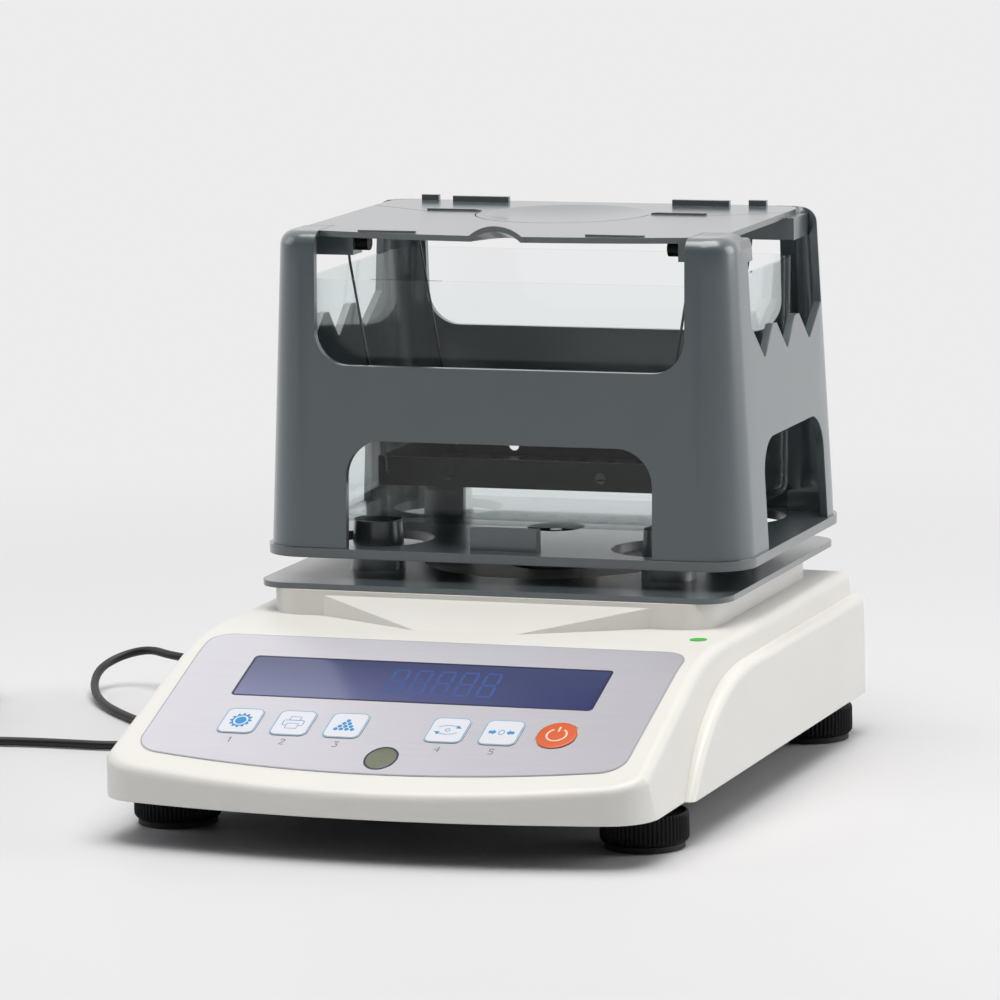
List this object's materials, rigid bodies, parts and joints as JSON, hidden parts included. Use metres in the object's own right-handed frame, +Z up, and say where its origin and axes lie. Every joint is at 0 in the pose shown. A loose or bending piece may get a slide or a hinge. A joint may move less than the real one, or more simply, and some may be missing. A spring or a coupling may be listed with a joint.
{
  "type": "benchtop density meter",
  "caption": "Electronic balance with a sloping key panel and screw feet, carrying a weighing frame over a clear immersion tank, with a basket hung on wires and loose top plates.",
  "frame": {"origin": "on the table under the middle of the meter, without its supply lead", "axes": "+X to the right seen from the panel, -Y towards the panel's front lip, +Z up"},
  "size_m": [0.4046, 0.3115, 0.2087],
  "materials": {
    "white_plastic": "fine satin",
    "grey_plastic": "satin",
    "cover_plastic": "satin",
    "overlay_film": "satin print",
    "window_film": "clear tinted",
    "circuit_board": "solder mask",
    "display_glass": "gloss",
    "key_film": "satin print",
    "power_film": "satin print",
    "switch_metal": "plain",
    "zinc_steel": "zinc plated",
    "black_steel": "black oxide",
    "brass": "turned",
    "load_cell_metal": "milled",
    "black_plastic": "satin",
    "black_rubber": "matte",
    "vial_plastic": "clear",
    "green_label": "print",
    "clear_plastic": "clear",
    "connector_metal": "nickel"
  },
  "bodies": {
    "base": {"upper_housing": "white_plastic", "bottom_cover": "cover_plastic", "housing_screws": "zinc_steel", "foot_inserts": "brass", "control_overlay": "overlay_film", "display_window": "window_film", "lcd_module": "display_glass", "panel_board": "circuit_board", "panel_board_screws": "zinc_steel", "key_switches": "switch_metal", "main_board": "circuit_board", "main_board_screws": "zinc_steel", "level_vial": "vial_plastic", "inspection_dot": "green_label", "power_jack": "black_plastic", "serial_port": "connector_metal", "port_standoffs": "zinc_steel", "load_cell": "load_cell_metal", "load_cell_block": "load_cell_metal", "load_cell_screws": "zinc_steel", "support_tray": "grey_plastic", "tray_screws": "zinc_steel", "dc_plug": "black_plastic", "power_cord": "black_rubber", "power_cord_coil": "black_rubber", "mains_adapter": "black_plastic"},
    "tank": {"immersion_tank": "clear_plastic"},
    "frame": {"weighing_frame_floor": "grey_plastic", "weighing_frame_front": "grey_plastic", "weighing_frame_rear": "grey_plastic", "weighing_frame_left": "grey_plastic", "weighing_frame_right": "grey_plastic", "pan_carrier": "load_cell_metal", "centre_screw": "black_steel", "wire_clamp_screws": "black_plastic"},
    "front_lid": {"front_plate": "grey_plastic"},
    "rear_lid": {"rear_plate": "grey_plastic"},
    "front_hangers": {"front_wires": "black_steel"},
    "hanging_basket": {"basket": "black_steel"},
    "rear_hangers": {"rear_wires": "black_steel"},
    "key_setup_body": {"key_setup": "key_film"},
    "key_print_body": {"key_print": "key_film"},
    "key_enter_body": {"key_enter": "key_film"},
    "key_mode_body": {"key_mode": "key_film"},
    "key_zero_body": {"key_zero": "key_film"},
    "key_power_body": {"key_power": "power_film"},
    "pad_front_left": {"foot_pad_front_left": "black_rubber"},
    "knob_front_left": {"foot_knob_front_left": "black_plastic"},
    "pad_rear_left": {"foot_pad_rear_left": "black_rubber"},
    "knob_rear_left": {"foot_knob_rear_left": "black_plastic"},
    "pad_front_right": {"foot_pad_front_right": "black_rubber"},
    "knob_front_right": {"foot_knob_front_right": "black_plastic"},
    "pad_rear_right": {"foot_pad_rear_right": "black_rubber"},
    "knob_rear_right": {"foot_knob_rear_right": "black_plastic"}
  },
  "joints": [
    {"name": "weighing_sag", "type": "slide", "parent": "base", "child": "frame", "axis": [0, 0, 1], "range_m": [-0.0004, 0], "stiffness_N_per_m": 20000, "springref_m": 0.0003},
    {"name": "tank_lift", "type": "slide", "parent": "base", "child": "tank", "axis": [0, 0, 1], "range_m": [0, 0.006]},
    {"name": "front_lid_lift", "type": "slide", "parent": "frame", "child": "front_lid", "axis": [0, 0, 1], "range_m": [0, 0.05]},
    {"name": "rear_lid_lift", "type": "slide", "parent": "frame", "child": "rear_lid", "axis": [0, 0, 1], "range_m": [0, 0.05]},
    {"name": "front_wires_swing", "type": "hinge", "parent": "frame", "child": "front_hangers", "pos_m": [0, 0.04, 0.1986], "axis": [1, 0, 0], "range_deg": [-3.5, 3.5]},
    {"name": "basket_level", "type": "hinge", "parent": "front_hangers", "child": "hanging_basket", "pos_m": [0, 0.042, 0.1106], "axis": [1, 0, 0], "range_deg": [-3.5, 3.5]},
    {"name": "rear_wires_swing", "type": "hinge", "parent": "frame", "child": "rear_hangers", "pos_m": [0, 0.1175, 0.1986], "axis": [1, 0, 0], "range_deg": [-3.5, 3.5]},
    {"name": "key_setup_press", "type": "slide", "parent": "base", "child": "key_setup_body", "axis": [0, 0.3461, -0.9382], "range_m": [0, 0.0004], "stiffness_N_per_m": 3000, "springref_m": -0.0001},
    {"name": "key_print_press", "type": "slide", "parent": "base", "child": "key_print_body", "axis": [0, 0.3461, -0.9382], "range_m": [0, 0.0004], "stiffness_N_per_m": 3000, "springref_m": -0.0001},
    {"name": "key_enter_press", "type": "slide", "parent": "base", "child": "key_enter_body", "axis": [0, 0.3461, -0.9382], "range_m": [0, 0.0004], "stiffness_N_per_m": 3000, "springref_m": -0.0001},
    {"name": "key_mode_press", "type": "slide", "parent": "base", "child": "key_mode_body", "axis": [0, 0.3461, -0.9382], "range_m": [0, 0.0004], "stiffness_N_per_m": 3000, "springref_m": -0.0001},
    {"name": "key_zero_press", "type": "slide", "parent": "base", "child": "key_zero_body", "axis": [0, 0.3461, -0.9382], "range_m": [0, 0.0004], "stiffness_N_per_m": 3000, "springref_m": -0.0001},
    {"name": "key_power_press", "type": "slide", "parent": "base", "child": "key_power_body", "axis": [0, 0.3461, -0.9382], "range_m": [0, 0.0004], "stiffness_N_per_m": 3000, "springref_m": -0.0001},
    {"name": "foot_height_front_left", "type": "slide", "parent": "base", "child": "pad_front_left", "axis": [0, 0, 1], "range_m": [-0.003, 0.0025]},
    {"name": "foot_turn_front_left", "type": "hinge", "parent": "pad_front_left", "child": "knob_front_left", "pos_m": [-0.0895, -0.093, 0.008], "axis": [0, 0, 1], "range_deg": [-1090, 910]},
    {"name": "foot_height_rear_left", "type": "slide", "parent": "base", "child": "pad_rear_left", "axis": [0, 0, 1], "range_m": [-0.003, 0.0025]},
    {"name": "foot_turn_rear_left", "type": "hinge", "parent": "pad_rear_left", "child": "knob_rear_left", "pos_m": [-0.0895, 0.1185, 0.008], "axis": [0, 0, 1], "range_deg": [-1090, 910]},
    {"name": "foot_height_front_right", "type": "slide", "parent": "base", "child": "pad_front_right", "axis": [0, 0, 1], "range_m": [-0.003, 0.0025]},
    {"name": "foot_turn_front_right", "type": "hinge", "parent": "pad_front_right", "child": "knob_front_right", "pos_m": [0.0895, -0.093, 0.008], "axis": [0, 0, 1], "range_deg": [-1090, 910]},
    {"name": "foot_height_rear_right", "type": "slide", "parent": "base", "child": "pad_rear_right", "axis": [0, 0, 1], "range_m": [-0.003, 0.0025]},
    {"name": "foot_turn_rear_right", "type": "hinge", "parent": "pad_rear_right", "child": "knob_rear_right", "pos_m": [0.0895, 0.1185, 0.008], "axis": [0, 0, 1], "range_deg": [-1090, 910]}
  ],
  "couplings": [
    {"joint": "basket_level", "follows": "front_wires_swing", "ratio": -1},
    {"joint": "rear_wires_swing", "follows": "front_wires_swing", "ratio": 1},
    {"joint": "foot_turn_front_left", "follows": "foot_height_front_left", "rad_per_m": 6283.2},
    {"joint": "foot_turn_rear_left", "follows": "foot_height_rear_left", "rad_per_m": 6283.2},
    {"joint": "foot_turn_front_right", "follows": "foot_height_front_right", "rad_per_m": 6283.2},
    {"joint": "foot_turn_rear_right", "follows": "foot_height_rear_right", "rad_per_m": 6283.2}
  ]
}
